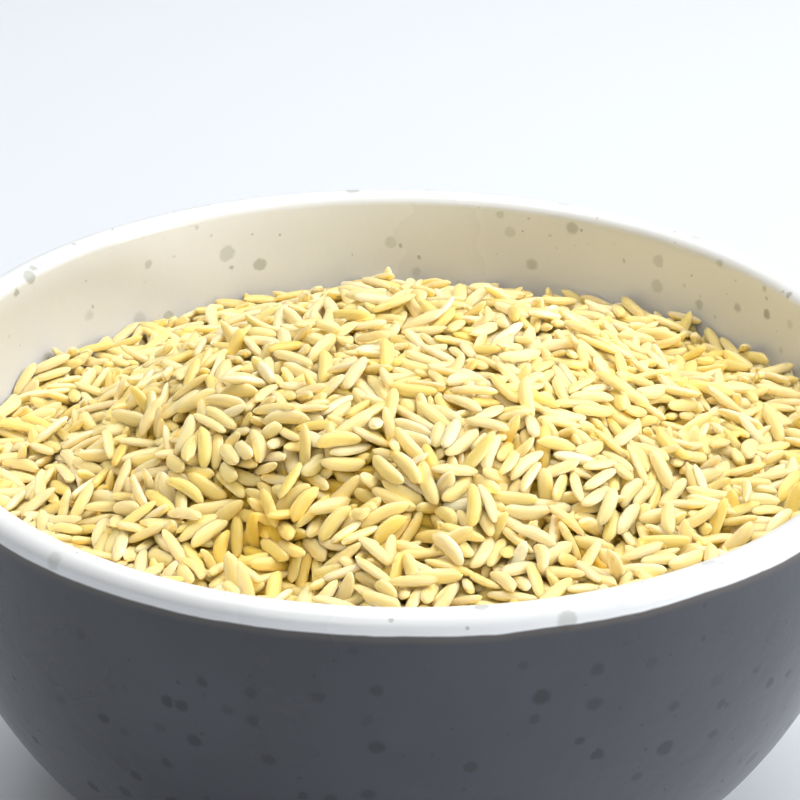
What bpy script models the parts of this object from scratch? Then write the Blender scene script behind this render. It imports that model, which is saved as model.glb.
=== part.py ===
"""Speckled stoneware bowl filled with a heap of dry long-grain rice.

Metres, +Z up. The origin is at the centre of the foot, on the surface that the bowl stands on.
Two pieces: the turned bowl, and the heap of rice as one solid that lies in it.
"""
import itertools
import math

import bmesh
import bpy
import numpy as np
from mathutils import Matrix, Vector

# Bowl: the outer and inner walls are superellipse curves measured down from the rim
RIM_RADIUS = 0.066
BOWL_HEIGHT = 0.066
WALL = 0.0048
LIP_HEIGHT = 0.0021
CURVE_POWER = 2.3
OUTER_POLE_DEPTH = 0.0708
INNER_POLE_DEPTH = 0.0612
FOOT_RADIUS = 0.0312
FOOT_RING_WIDTH = 0.0042
FOOT_HEIGHT = 0.0022
FOOT_RECESS = 0.0014
EDGE_ROUND = 0.0005
FLOOR_FLAT = 0.0090
BOWL_STEPS = 60
INNER_RINGS = 7
OUTER_RINGS = 8
LIP_RINGS = 6

# Heap of rice: levels are measured up from the rim
WALL_LEVEL = -0.0122
LEVEL_TILT = 0.075
TILT_HEADING = math.radians(-40.0)
MOUND_HEIGHT = 0.0156
MOUND_RADIUS = 0.0350
MOUND_POWER = 6.0
MOUND_CENTRE = (-0.001, -0.002)
HOLLOWS = (
    (-0.017, -0.034, 0.0080, 0.0026),
    (0.043, 0.027, 0.0090, 0.0030),
    (0.012, -0.022, 0.0060, 0.0012),
)
RIPPLE = 0.0006
RIPPLE_LENGTH = 0.017
GAP = 0.0004
BED_RADIUS = RIM_RADIUS - WALL
HAIR = 0.00002
HEAP_STEPS = 48
TOP_RINGS = 12

# Grains that show on the heap
GRAIN_LENGTH = 0.0068
GRAIN_WIDTH = 0.0022
GRAIN_THICKNESS = 0.0017
GRAIN_BEND = 0.00035
GRAIN_SIDES = 5
GRAIN_BANDS = 3
GRAIN_SHOULDER = 0.62
GRAIN_COUNT = 232
GRAIN_RISE = 0.0005
GRAIN_TILT = math.radians(14.0)
BUMP_HEIGHT = 0.0006
GOLDEN_ANGLE = math.pi * (3.0 - math.sqrt(5.0))
SEED = 11

# Colours, linear
SLATE_GLAZE = (0.165, 0.172, 0.190, 1.0)
RICE_COLOUR = (0.800, 0.610, 0.240, 1.0)


def clear_scene():
    """Removes whatever the file held before."""
    for thing in list(bpy.data.objects):
        bpy.data.objects.remove(thing, do_unlink=True)


def new_collection(name):
    """A collection linked to the scene."""
    collection = bpy.data.collections.new(name)
    bpy.context.scene.collection.children.link(collection)
    return collection


def new_material(name, colour, roughness):
    """A Principled material of one colour."""
    material = bpy.data.materials.new(name)
    material.use_nodes = True
    shader = material.node_tree.nodes["Principled BSDF"]
    shader.inputs["Base Color"].default_value = colour
    shader.inputs["Roughness"].default_value = roughness
    shader.inputs["Metallic"].default_value = 0.0
    return material


def curve_points(rim_radius, pole_depth, first_depth, last_radius, rings):
    """Points down a bowl curve, spaced evenly in its own angle from the rim to a last radius."""
    first = math.asin((first_depth / pole_depth) ** (CURVE_POWER / 2.0))
    last = math.acos((last_radius / rim_radius) ** (CURVE_POWER / 2.0))
    points = []
    for step in range(rings + 1):
        angle = first + (last - first) * step / rings
        radius = rim_radius * math.cos(angle) ** (2.0 / CURVE_POWER)
        depth = pole_depth * math.sin(angle) ** (2.0 / CURVE_POWER)
        points.append((radius, BOWL_HEIGHT - depth))
    return points


def inside_points():
    """Points down the bowl's inside, from under its lip to the flat of its floor."""
    return curve_points(RIM_RADIUS - WALL, INNER_POLE_DEPTH, LIP_HEIGHT, FLOOR_FLAT, INNER_RINGS)


def inner_radius(height):
    """Radius of the bowl's inside at a height."""
    points = inside_points()[::-1]
    return float(np.interp(height, [point[1] for point in points], [point[0] for point in points]))


def bowl_profile():
    """The bowl's section: from the middle of its floor up the inside, over the lip and down to the foot."""
    inside = inside_points()
    outside = curve_points(RIM_RADIUS, OUTER_POLE_DEPTH, LIP_HEIGHT, FOOT_RADIUS + EDGE_ROUND * 2.0, OUTER_RINGS)
    foot_inner = FOOT_RADIUS - FOOT_RING_WIDTH
    lip = []
    for step in range(1, LIP_RINGS):
        angle = math.pi * (1.0 - step / LIP_RINGS)
        lip_radius = RIM_RADIUS - WALL / 2.0 + WALL / 2.0 * math.cos(angle)
        lip.append((lip_radius, BOWL_HEIGHT - LIP_HEIGHT + LIP_HEIGHT * math.sin(angle)))
    profile = [(0.0, BOWL_HEIGHT - INNER_POLE_DEPTH)]
    profile += reversed(inside)
    profile += lip
    profile += outside
    profile += [
        (FOOT_RADIUS, FOOT_HEIGHT),
        (FOOT_RADIUS, EDGE_ROUND),
        (FOOT_RADIUS - EDGE_ROUND, 0.0),
        (foot_inner + EDGE_ROUND, 0.0),
        (foot_inner, EDGE_ROUND),
        (foot_inner - EDGE_ROUND, FOOT_RECESS),
        (0.0, FOOT_RECESS),
    ]
    return profile


def turned_object(name, profile, steps, collection):
    """An object that a Screw modifier turns from a section round the Z axis."""
    mesh = bpy.data.meshes.new(name)
    vertices = [(radius, 0.0, height) for radius, height in profile]
    edges = [(index, index + 1) for index in range(len(profile) - 1)]
    mesh.from_pydata(vertices, edges, [])
    turned = bpy.data.objects.new(name, mesh)
    collection.objects.link(turned)
    screw = turned.modifiers.new("turn", "SCREW")
    screw.axis = "Z"
    screw.angle = math.tau
    screw.steps = steps
    screw.render_steps = steps
    screw.use_merge_vertices = True
    screw.merge_threshold = 0.00001
    screw.use_smooth_shade = True
    return turned


def heap_level(x, y):
    """Height of the core's top, from the rim: a tilted bed, a broad mound and a few hollows."""
    heading = x * math.cos(TILT_HEADING) + y * math.sin(TILT_HEADING)
    level = WALL_LEVEL + LEVEL_TILT * heading
    reach = np.hypot(x - MOUND_CENTRE[0], y - MOUND_CENTRE[1]) / MOUND_RADIUS
    level = level + MOUND_HEIGHT / (1.0 + reach**MOUND_POWER)
    for centre_x, centre_y, radius, depth in HOLLOWS:
        away = np.hypot(x - centre_x, y - centre_y) / radius
        level = level - depth * np.exp(-(away**2))
    wave = math.tau / RIPPLE_LENGTH
    ripple = np.sin(wave * x + 0.7) * np.cos(wave * y - 0.4)
    ripple = ripple + 0.6 * np.sin(wave * 1.7 * (x * 0.8 - y * 0.6) + 2.1)
    return level + RIPPLE * ripple


def heap_profile():
    """Section of the heap's blank: over a flat top from the middle, then down the bowl's inside."""
    top = [(BED_RADIUS * step / TOP_RINGS, BOWL_HEIGHT) for step in range(TOP_RINGS + 1)]
    lowest = BOWL_HEIGHT + WALL_LEVEL - LEVEL_TILT * BED_RADIUS - RIPPLE * 2.0
    under = [(radius - GAP, height + GAP) for radius, height in inside_points() if height < lowest]
    return top + under + [(0.0, BOWL_HEIGHT - INNER_POLE_DEPTH + GAP)]


def shape_heap(mesh, draw):
    """Brings the blank's flat top to the heap's level, with grain-sized bumps, inside the bowl's wall."""
    for vertex in mesh.vertices:
        if vertex.co.z < BOWL_HEIGHT - GAP:
            continue
        fraction = math.hypot(vertex.co.x, vertex.co.y) / BED_RADIUS
        level = float(heap_level(vertex.co.x, vertex.co.y))
        if fraction < 0.99:
            level += draw.uniform(-BUMP_HEIGHT, BUMP_HEIGHT)
        limit = (inner_radius(BOWL_HEIGHT + level) - GAP) / BED_RADIUS
        squeeze = 1.0 + (limit - 1.0) * fraction
        vertex.co.x *= squeeze
        vertex.co.y *= squeeze
        vertex.co.z = BOWL_HEIGHT + level


def grain_mesh():
    """One grain, long along X: a sphere of few sides, drawn out to blunt shoulders and slightly bent."""
    shape = bmesh.new()
    bmesh.ops.create_uvsphere(shape, u_segments=GRAIN_SIDES, v_segments=GRAIN_BANDS, radius=1.0)
    bmesh.ops.rotate(shape, matrix=Matrix.Rotation(math.pi / 2.0, 3, "Y"), verts=shape.verts)
    ring_radius = math.sin(math.pi / GRAIN_BANDS)
    for vertex in shape.verts:
        along = vertex.co.x
        if abs(along) < 0.99:
            along = math.copysign(GRAIN_SHOULDER, along)
        vertex.co.x = along * GRAIN_LENGTH / 2.0
        vertex.co.y = vertex.co.y / ring_radius * GRAIN_WIDTH / 2.0 + GRAIN_BEND * (1.0 - 2.0 * along**2)
        vertex.co.z = vertex.co.z / ring_radius * GRAIN_THICKNESS / 2.0
    mesh = bpy.data.meshes.new("grain")
    shape.to_mesh(mesh)
    shape.free()
    return mesh


def heap_normal(x, y):
    """Upward normal of the core's top, from its slopes."""
    step = 0.001
    slope_x = float(heap_level(x + step, y) - heap_level(x - step, y)) / (2.0 * step)
    slope_y = float(heap_level(x, y + step) - heap_level(x, y - step)) / (2.0 * step)
    return Vector((-slope_x, -slope_y, 1.0)).normalized()


def clears_wall(mesh, placed):
    """Whether a placed grain keeps the gap to the bowl's inside."""
    points = [placed @ vertex.co for vertex in mesh.vertices]
    return all(math.hypot(point.x, point.y) < inner_radius(point.z) - GAP for point in points)


def scatter_grains(collection, draw):
    """Grains on a sunflower spiral over the core, lying on it in all directions, clear of the bowl."""
    mesh = grain_mesh()
    reach = BED_RADIUS - GAP - GRAIN_WIDTH
    for index in range(GRAIN_COUNT):
        radius = reach * math.sqrt((index + 0.5) / GRAIN_COUNT)
        angle = index * GOLDEN_ANGLE
        x = radius * math.cos(angle)
        y = radius * math.sin(angle)
        turn = draw.uniform(0.0, math.pi)
        if radius > reach - GRAIN_LENGTH / 2.0:
            turn = angle + math.pi / 2.0 + draw.uniform(-0.3, 0.3)
        tilt = Matrix.Rotation(draw.uniform(-GRAIN_TILT, GRAIN_TILT), 4, "Y")
        lean = heap_normal(x, y).to_track_quat("Z", "Y").to_matrix().to_4x4()
        height = BOWL_HEIGHT + float(heap_level(x, y)) + GRAIN_RISE
        size = draw.uniform(0.92, 1.06)
        place = Matrix.Translation((x, y, height))
        placed = place @ lean @ Matrix.Rotation(turn, 4, "Z") @ tilt @ Matrix.Scale(size, 4)
        if not clears_wall(mesh, placed):
            continue
        grain = bpy.data.objects.new("grain", mesh.copy())
        grain.data.transform(placed)
        collection.objects.link(grain)
    bpy.data.meshes.remove(mesh)


def drop_small_shells(shape):
    """Keeps the largest connected shell, so that no loose scrap or sealed hollow is left."""
    unseen = set(shape.faces)
    shells = []
    while unseen:
        shell = [unseen.pop()]
        for face in shell:
            for edge in face.edges:
                for other in edge.link_faces:
                    if other in unseen:
                        unseen.discard(other)
                        shell.append(other)
        shells.append(shell)
    shells.sort(key=len)
    for shell in shells[:-1]:
        bmesh.ops.delete(shape, geom=shell, context="FACES")


def third_vertex(face, edge):
    """The vertex of a triangle that is not on one of its edges, and the vertex where its edge starts."""
    loop = next(loop for loop in face.loops if loop.edge == edge)
    return loop.link_loop_prev.vert, loop.vert


def part_split(shape, edge):
    """Where two flat faces are split along one shared line, bends one split a hair off the other."""
    pairs = []
    for first, second in itertools.combinations(edge.link_faces, 2):
        far, start = third_vertex(first, edge)
        near, end = third_vertex(second, edge)
        if far == near:
            bmesh.ops.delete(shape, geom=[first, second], context="FACES_ONLY")
            return
        if start != end:
            pairs.append((first.normal.dot(second.normal), len(pairs), first, second, far, near, start, end))
    first, second, far, near, start, end = max(pairs)[2:]
    middle = (start.co + end.co) / 2.0
    others = [face for face in edge.link_faces if face not in (first, second)]
    side = sum((face.calc_center_median() - middle).dot(first.normal) for face in others)
    bent = shape.verts.new(middle - first.normal * math.copysign(HAIR, side))
    bmesh.ops.delete(shape, geom=[first, second], context="FACES_ONLY")
    for corners in ((start, bent, far), (bent, end, far), (end, bent, near), (bent, start, near)):
        shape.faces.new(corners)


def clean_union(mesh):
    """Makes the fused heap one plain closed body of triangles."""
    shape = bmesh.new()
    shape.from_mesh(mesh)
    bmesh.ops.triangulate(shape, faces=shape.faces)
    shape.normal_update()
    for edge in [edge for edge in shape.edges if len(edge.link_faces) > 2]:
        if len(edge.link_faces) > 2:
            part_split(shape, edge)
    drop_small_shells(shape)
    bmesh.ops.delete(shape, geom=[edge for edge in shape.edges if edge.is_wire], context="EDGES")
    bmesh.ops.delete(shape, geom=[vertex for vertex in shape.verts if not vertex.link_faces], context="VERTS")
    shape.to_mesh(mesh)
    shape.free()


def evaluated_mesh(thing):
    """The mesh that an object's modifiers give."""
    bpy.context.view_layer.update()
    graph = bpy.context.evaluated_depsgraph_get()
    return bpy.data.meshes.new_from_object(thing.evaluated_get(graph))


def make_bowl(parts):
    """The stoneware bowl, turned in one piece with its lip and foot."""
    bowl = turned_object("bowl", bowl_profile(), BOWL_STEPS, parts)
    bowl.data.materials.append(new_material("slate_glaze", SLATE_GLAZE, 0.35))
    return bowl


def make_rice_heap(parts, fused):
    """The heap of rice: a core that fills the bowl, with grains fused on its top."""
    draw = np.random.default_rng(SEED)
    blank = turned_object("heap_blank", heap_profile(), HEAP_STEPS, parts)
    mesh = evaluated_mesh(blank)
    bpy.data.objects.remove(blank, do_unlink=True)
    shape_heap(mesh, draw)
    heap = bpy.data.objects.new("rice_heap", mesh)
    parts.objects.link(heap)
    scatter_grains(fused, draw)
    union = heap.modifiers.new("fuse_grains", "BOOLEAN")
    union.operation = "UNION"
    union.operand_type = "COLLECTION"
    union.collection = fused
    union.solver = "MANIFOLD"
    joined = evaluated_mesh(heap)
    heap.modifiers.remove(union)
    clean_union(joined)
    heap.data = joined
    heap.data.materials.clear()
    heap.data.materials.append(new_material("rice", RICE_COLOUR, 0.55))
    for grain in list(fused.objects):
        bpy.data.objects.remove(grain, do_unlink=True)
    bpy.data.collections.remove(fused)
    return heap


def main():
    """Makes the bowl and the rice in it."""
    clear_scene()
    parts = new_collection("bowl_of_rice")
    fused = new_collection("fused_grains")
    make_bowl(parts)
    make_rice_heap(parts, fused)


main()
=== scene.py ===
"""Looks of a speckled stoneware bowl filled with raw long-grain rice.

The bowl is a turned surface with a two-tone speckled glaze, whose dark outside also paints the shade on the
bowl's backlit outside. The rice is some thousands of grains of true size, settled on a core so that they lie
on each other and against the bowl; the core's colour paints the shade under them. They are joined meshes, one
for each kind of grain.
"""
import math

import bpy
import numpy as np
from bpy.props import FloatProperty, FloatVectorProperty, IntProperty, PointerProperty
from mathutils import Matrix, Quaternion, Vector


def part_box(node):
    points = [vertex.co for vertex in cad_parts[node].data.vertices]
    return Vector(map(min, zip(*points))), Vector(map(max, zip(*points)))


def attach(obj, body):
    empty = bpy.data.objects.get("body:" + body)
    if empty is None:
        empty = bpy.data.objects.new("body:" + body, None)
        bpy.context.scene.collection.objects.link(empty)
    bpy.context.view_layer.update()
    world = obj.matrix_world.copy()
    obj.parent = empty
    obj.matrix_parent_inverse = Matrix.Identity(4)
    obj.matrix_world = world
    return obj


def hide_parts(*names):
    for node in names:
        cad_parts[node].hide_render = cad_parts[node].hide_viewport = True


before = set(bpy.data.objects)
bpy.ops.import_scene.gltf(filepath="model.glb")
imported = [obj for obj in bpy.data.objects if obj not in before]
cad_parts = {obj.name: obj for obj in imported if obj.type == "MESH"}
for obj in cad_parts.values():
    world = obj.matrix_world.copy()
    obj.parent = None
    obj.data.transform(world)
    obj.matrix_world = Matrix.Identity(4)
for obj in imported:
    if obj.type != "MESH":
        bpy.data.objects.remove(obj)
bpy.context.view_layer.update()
BOWL_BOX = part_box("bowl")

bl_info = {
    "name": "Bowl of raw rice",
    "version": (1, 0, 0),
    "blender": (4, 5, 0),
    "location": "3D View > Sidebar > Rice",
    "description": "Makes a speckled stoneware bowl of long-grain rice and a plain studio for it",
    "category": "Add Mesh",
}

MM = 0.001

# Bowl sizes that the frame gives, and the others of the same turned form
RIM_RADIUS = BOWL_BOX[1][0]
BOWL_HEIGHT = BOWL_BOX[1][2]
WALL = 4.3 * MM
LIP_HEIGHT = 1.6 * MM
BREAK_DEPTH = 2.3 * MM
CURVE_POWER = 2.3
OUTER_POLE_DEPTH = 70.8 * MM
INNER_POLE_DEPTH = 61.2 * MM
FOOT_RADIUS = 32.4 * MM
FOOT_TAPER = 0.6 * MM
FOOT_RING_WIDTH = 4.2 * MM
FOOT_HEIGHT = 3.0 * MM
FOOT_RECESS = 1.6 * MM
EDGE_ROUND = 0.5 * MM
BOWL_STEPS = 288
POLE_GAP = 0.02

# How far the bowl is out of round, and its slow waves: size, number round it, phase and turn with height
WOBBLE = 0.08 * MM
BOWL_WAVES = ((1.0, 2.0, 0.6, 0.0), (0.6, 3.0, 2.0, 0.0), (0.4, 5.0, 0.0, 90.0))

# Numbers of rings along the bowl's section, zone by zone
INSIDE_RINGS = 44
LIP_RINGS = 22
OUTSIDE_RINGS = 56
FOOT_RINGS = 6

# Heap of rice: levels are measured up from the rim, as in the solid that it replaces. A hollow has its
# middle's place, its radius and its depth, and a depth below zero makes a low swell.
BED_RADIUS = RIM_RADIUS - WALL
WALL_LEVEL = -12.2 * MM
LEVEL_TILT = 0.075
TILT_HEADING = math.radians(-40.0)
MOUND_HEIGHT = 15.6 * MM
MOUND_RADIUS = 36.0 * MM
MOUND_POWER = 6.0
MOUND_CENTRE = (-1.0 * MM, -0.5 * MM)
HOLLOWS = (
    (-18.5 * MM, -33.0 * MM, 6.5 * MM, 4.2 * MM),
    (43.0 * MM, 27.0 * MM, 9.0 * MM, 3.0 * MM),
    (2.0 * MM, -36.0 * MM, 5.0 * MM, 2.6 * MM),
    (-12.5 * MM, -41.0 * MM, 4.5 * MM, 2.0 * MM),
    (-7.5 * MM, -31.0 * MM, 4.0 * MM, 1.8 * MM),
    (22.5 * MM, -36.5 * MM, 4.5 * MM, 1.8 * MM),
    (37.5 * MM, -33.0 * MM, 4.5 * MM, 1.8 * MM),
    (-34.5 * MM, -11.0 * MM, 4.5 * MM, 1.6 * MM),
    (-25.0 * MM, -22.0 * MM, 4.5 * MM, 1.5 * MM),
    (-40.0 * MM, -24.0 * MM, 4.5 * MM, 1.4 * MM),
    (26.0 * MM, -6.0 * MM, 12.0 * MM, 1.5 * MM),
    (-5.0 * MM, 12.0 * MM, 20.0 * MM, -1.3 * MM),
)
RIPPLE = 0.6 * MM
RIPPLE_LENGTH = 17.0 * MM
CORE_DEPTH = 4.7 * MM
CORE_GAP = 0.6 * MM
CORE_STEPS = 144
CORE_RINGS = 40
UNDER_RINGS = 17
UNDER_END = 0.985
UNDER_RADIUS = 4.0 * MM
SLOPE_STEP = 1.5 * MM

# How the grains are strewn, and how they vary: spreads, limits and broken lengths are shares of the mean
TRIES = 4000
STREW_SHARE = 0.7
STREW_MARGIN = 1.5 * MM
LOOSE_DEPTH = 11.0 * MM
LOWEST_LIFT = 0.2
LEAN = math.radians(27.0)
ROLL = math.radians(28.0)
LENGTH_SPREAD = 0.05
LENGTH_LIMITS = (0.87, 1.11)
WIDTH_SPREAD = 0.048
WIDTH_LIMITS = (0.87, 1.13)
BROKEN_LENGTHS = (0.42, 0.75)
SEED = 5

# Shape of a grain, first for its plain end and then its germ end, and rings and steps of its two meshes
GIRTH_POWERS = (2.6, 3.3)
GIRTH_ROOTS = (0.55, 0.48)
RIDGES = (0.020, 0.030)
BEND_SPREAD = 0.16 * MM
CHIP_SIZES = (0.20, 0.75)
CHIP_START = 0.66
CHIP_POWER = 1.5
FINE_MESH = (10, 8)
BURIED_MESH = (6, 6)

# How the grains settle: each is a row of five balls
BALL_PLACES = np.array([-0.71, -0.38, 0.0, 0.38, 0.71])
BALL_SIZES = np.array([0.74, 0.94, 1.0, 0.94, 0.74])
BALLS = len(BALL_PLACES)
BALL_RADIUS = 0.455
INERTIA_PART = 11.0
LONGEST_REACH = 2.6 * MM
NEAR_MARGIN = 0.6 * MM
WALL_GAP = 0.3 * MM
SETTLE_STEPS = 320
FAST_SHARE = 0.45
FAST_PULL = 0.06 * MM
SLOW_PULL = 0.02 * MM
PUSH_SHARE = 0.22
SURFACE_SHARE = 0.5
REFRESH = 8
NOT_ZERO = 1e-9

# Kinds of grain: share of the rice, colour of the middle, and the paler colour of the thin sides that paints
# light glowing through them
KINDS = (
    ("rice_pale", 0.22, (0.993, 0.840, 0.44), (0.995, 0.874, 0.65)),
    ("rice_cream", 0.22, (0.991, 0.830, 0.40), (0.994, 0.867, 0.61)),
    ("rice_straw", 0.20, (0.989, 0.820, 0.36), (0.992, 0.859, 0.56)),
    ("rice_golden", 0.15, (0.986, 0.802, 0.30), (0.990, 0.844, 0.48)),
    ("rice_deep", 0.09, (0.979, 0.785, 0.24), (0.985, 0.830, 0.40)),
    ("rice_amber", 0.01, (0.945, 0.690, 0.15), (0.965, 0.760, 0.27)),
    ("rice_chalky", 0.02, (0.980, 0.890, 0.58), (0.983, 0.905, 0.68)),
    ("rice_broken", 0.09, (0.986, 0.838, 0.38), (0.990, 0.870, 0.54)),
)

# Depth to which grains are fine, depths over which a painted golden shade deepens in crevices and hollows,
# and the map that measures them
FINE_DEPTH = 3.4 * MM
CREVICE_SHADE_DEPTH = 1.9 * MM
HOLLOW_SHADE = 7.5 * MM
MAP_CELL = 0.5 * MM
MAP_BLUR = 3

# Finish of a grain. Fades are from a value to a value, and shares are of the pattern that is mixed in.
GLOW_REACH = 1.4 * MM
LINES_ROUND = 9.0
LINES_ALONG = 1.1
LINES_SHIFT = 37.0
MOTTLE_SHARE = 0.7
LINES_SHARE = 0.5
# Painted light: the fade into the pale thin sides paints the glow of light through the grain's edges.
GLOW_SIDE_FADE = (0.35, 1.05)
TONE_GREEN = (0.95, 1.0)
TONE_BLUE = (0.80, 1.0)
# Painted shade: the fade and tint that turn grains deep in crevices and hollows deeper golden.
DEEP_SHADE_FADE = (0.0, 0.75)
DEEP_SHADE_TINT = (0.990, 0.872, 0.24)
TIP_FADE = (0.86, 0.99)
TIP_SHARE = 0.35
TIP_COLOUR = (0.90, 0.68, 0.34)
GRAIN_ROUGHNESS = 0.22
GRAIN_ROUGHNESS_SPREAD = 0.24

# Core of the heap, whose colour paints the shade under the top grains: its painted lighter and darker gold,
# and where the one turns into the other in a grain-sized cell
CORE_PAINTED_LIGHT = (0.88, 0.62, 0.17)
CORE_PAINTED_SHADE = (0.66, 0.40, 0.08)
CORE_FADE = (0.1, 0.7)

# Glaze: the scattered speckles' cells and radii, their edges as shares of the radius, and their strength
LARGE_CELL = 6.6 * MM
LARGE_RADII = (0.50 * MM, 1.35 * MM)
SMALL_CELL = 2.8 * MM
SMALL_RADII = (0.10 * MM, 0.40 * MM)
SPECKLE_EDGE = (0.70, 1.10)
PLACED_EDGE = (0.55, 1.15)
SPECKLE_SHAKE = 0.8 * MM
FAINTEST = 0.35
OUTER_SPOT_SHADE = 0.30
OUTER_SPOT_SHARE = 0.75
INNER_SPOT_COLOUR = (0.30, 0.32, 0.26)
INNER_SPOT_SHARE = 0.62

# Glaze: its cloudy shades, its break line and the painted shade band under it, the bare clay of its foot, and
# its gloss
CLOUD_FADE = (0.25, 0.75)
OUTER_SHADES = (0.86, 1.12)
INNER_SHADE = 0.965
LIP_FADE = (0.86, 1.05)
BREAK_WAVER = 0.7 * MM
BREAK_BLUR = 0.2 * MM
LINE_START = 0.3 * MM
LINE_END = 1.3 * MM
LINE_SHARE = 0.4
OUTER_ZONE = 1.5
BARE_FADE = (3.02, 3.10)
BARE_WAVER = 0.16
CLAY_SHADE = 0.8
GLAZE_ROUGHNESS = 0.22
CLOUD_ROUGHNESS = 0.14
SPOT_ROUGHNESS = 0.12
CLAY_ROUGHNESS = 0.85

# The most visible speckles: turn round the bowl in degrees, depth below the rim and radius in mm, strength
OUTER_SPECKLES = (
    (-75, 11.8, 1.30, 1.0), (-69, 9.1, 1.05, 0.8), (-69, 14.1, 1.15, 0.8), (-92, 18.0, 1.15, 0.9),
    (-93, 25.8, 1.05, 0.8), (-98, 11.1, 0.95, 0.7), (-92, 9.7, 0.95, 0.7), (-82, 21.4, 1.05, 0.8),
    (-105, 15.8, 1.00, 0.8), (-105, 11.6, 0.90, 0.7), (-112, 20.7, 1.10, 0.9), (-113, 15.7, 1.05, 0.9),
    (-116, 25.8, 1.00, 0.8), (-121, 30.1, 1.00, 0.9), (-130, 36.8, 1.15, 0.9), (-130, 21.8, 0.90, 0.7),
    (-125, 9.7, 0.95, 0.7), (-121, 22.6, 0.80, 0.6), (-97, 26.9, 0.95, 0.8), (-59, 17.6, 0.95, 0.7),
    (-62, 27.9, 0.95, 0.7), (-52, 25.1, 0.95, 0.8), (-52, 20.3, 0.85, 0.7), (-44, 20.9, 0.95, 0.9),
)
INNER_SPECKLES = (
    (31, 5.4, 0.85, 1.0), (27, 0.6, 0.75, 1.0), (153, 1.8, 0.75, 1.0), (71, 9.5, 1.00, 0.7),
    (37, 6.8, 0.80, 0.7), (44, 9.0, 0.90, 0.7), (76, 2.1, 0.75, 0.6), (41, 1.3, 0.65, 0.6),
    (32, 1.8, 0.60, 0.6), (128, 6.0, 0.80, 0.6),
)

# Camera: elevation and distance from the middle of the rim, and the small turns of its framing
CAMERA_ELEVATION = math.radians(25.6)
CAMERA_DISTANCE = 402.0 * MM
CAMERA_PITCH = math.radians(-0.56)
CAMERA_ROLL = math.radians(-0.70)
FOCAL_PIXELS = 3000.0
FRAME_PIXELS = 800.0
SENSOR = 36.0
NEAREST = 0.01
FARTHEST = 50.0

# Studio: half of the floor's side, its darker shade, the sky, and each softbox's place, aim, size and colour
FLOOR_HALF = 4.0
FLOOR_SHADE = 0.985
SKY_COLOUR = (1.0, 0.985, 0.96, 1.0)
SOFTBOXES = (
    ("key", (0.70, 0.10, 0.80), (0.0, 0.0, 0.05), 0.60, (1.0, 1.0, 0.99)),
    ("top", (0.02, 0.30, 0.86), (0.0, 0.0, 0.06), 0.7, (1.0, 1.0, 0.99)),
    ("front", (-0.25, -0.75, 0.95), (0.0, 0.0, 0.06), 0.5, (0.97, 0.985, 1.0)),
    ("side", (1.05, -0.42, 0.14), (0.0, 0.0, 0.04), 0.24, (1.0, 1.0, 1.0)),
    ("backdrop", (0.0, 2.4, 1.5), (0.0, 1.2, 0.0), 1.6, (0.96, 0.98, 1.0)),
)
BOUNCES = 3
GLOSSY_BOUNCES = 2


class RiceBowlSizes(bpy.types.PropertyGroup):
    """Sizes and glaze colours of the bowl, whose outer colour and break band also paint shade."""

    rim_radius: FloatProperty(
        name="Rim radius", description="Outer radius of the bowl at its lip",
        default=RIM_RADIUS, unit="LENGTH",
    )
    height: FloatProperty(
        name="Height", description="Height of the bowl from foot to lip",
        default=BOWL_HEIGHT, unit="LENGTH",
    )
    wall: FloatProperty(
        name="Wall", description="Thickness of the wall at the lip",
        default=WALL, unit="LENGTH",
    )
    inner_glaze: FloatVectorProperty(
        name="Inner glaze", description="Colour of the inside",
        default=(0.835, 0.855, 0.940), subtype="COLOR",
    )
    lip_glaze: FloatVectorProperty(
        name="Lip glaze", description="Colour over the lip",
        default=(0.820, 0.835, 0.845), subtype="COLOR",
    )
    # Painted shade: the outside's slate grey is set darker than the glaze, to paint the deep shade of the
    # bowl's backlit outside.
    outer_glaze_and_shade: FloatVectorProperty(
        name="Outer glaze", description="Colour of the outside",
        default=(0.0465, 0.0500, 0.0615), subtype="COLOR",
    )
    # Painted shade: this colour tints a band just under the lip, painting the shade there.
    break_band_shade: FloatVectorProperty(
        name="Break line", description="Colour where the two glazes meet",
        default=(0.16, 0.13, 0.10), subtype="COLOR",
    )
    clay: FloatVectorProperty(
        name="Clay", description="Colour of the bare foot ring",
        default=(0.42, 0.33, 0.24), subtype="COLOR",
    )


class RiceHeapSizes(bpy.types.PropertyGroup):
    """Sizes and number of the grains."""

    count: IntProperty(
        name="Grains", description="How many grains lie on the core",
        default=4600, min=10,
    )
    length: FloatProperty(
        name="Length", description="Mean length of a whole grain",
        default=6.20 * MM, unit="LENGTH",
    )
    width: FloatProperty(
        name="Width", description="Mean width of a grain",
        default=1.84 * MM, unit="LENGTH",
    )
    flatness: FloatProperty(
        name="Flatness", description="Thickness as a share of the width",
        default=0.66, subtype="FACTOR",
    )


class RiceStageLight(bpy.types.PropertyGroup):
    """Floor colour and light of the studio."""

    floor_colour: FloatVectorProperty(
        name="Floor", description="Colour of the floor",
        default=(0.720, 0.755, 0.810), subtype="COLOR",
    )
    key_power: FloatProperty(
        name="Key", description="Power in watts of the softbox on the right",
        default=7.0,
    )
    top_power: FloatProperty(
        name="Top", description="Power in watts of the softbox over the bowl",
        default=5.3,
    )
    front_power: FloatProperty(
        name="Front", description="Power in watts of the softbox in front",
        default=1.9,
    )
    side_power: FloatProperty(
        name="Side", description="Power in watts of the low softbox on the right",
        default=6.4,
    )
    backdrop_power: FloatProperty(
        name="Backdrop", description="Power in watts of the softbox over the far floor",
        default=0.4,
    )
    fill_strength: FloatProperty(
        name="Fill", description="Strength of the light all round",
        default=0.24,
    )


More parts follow.
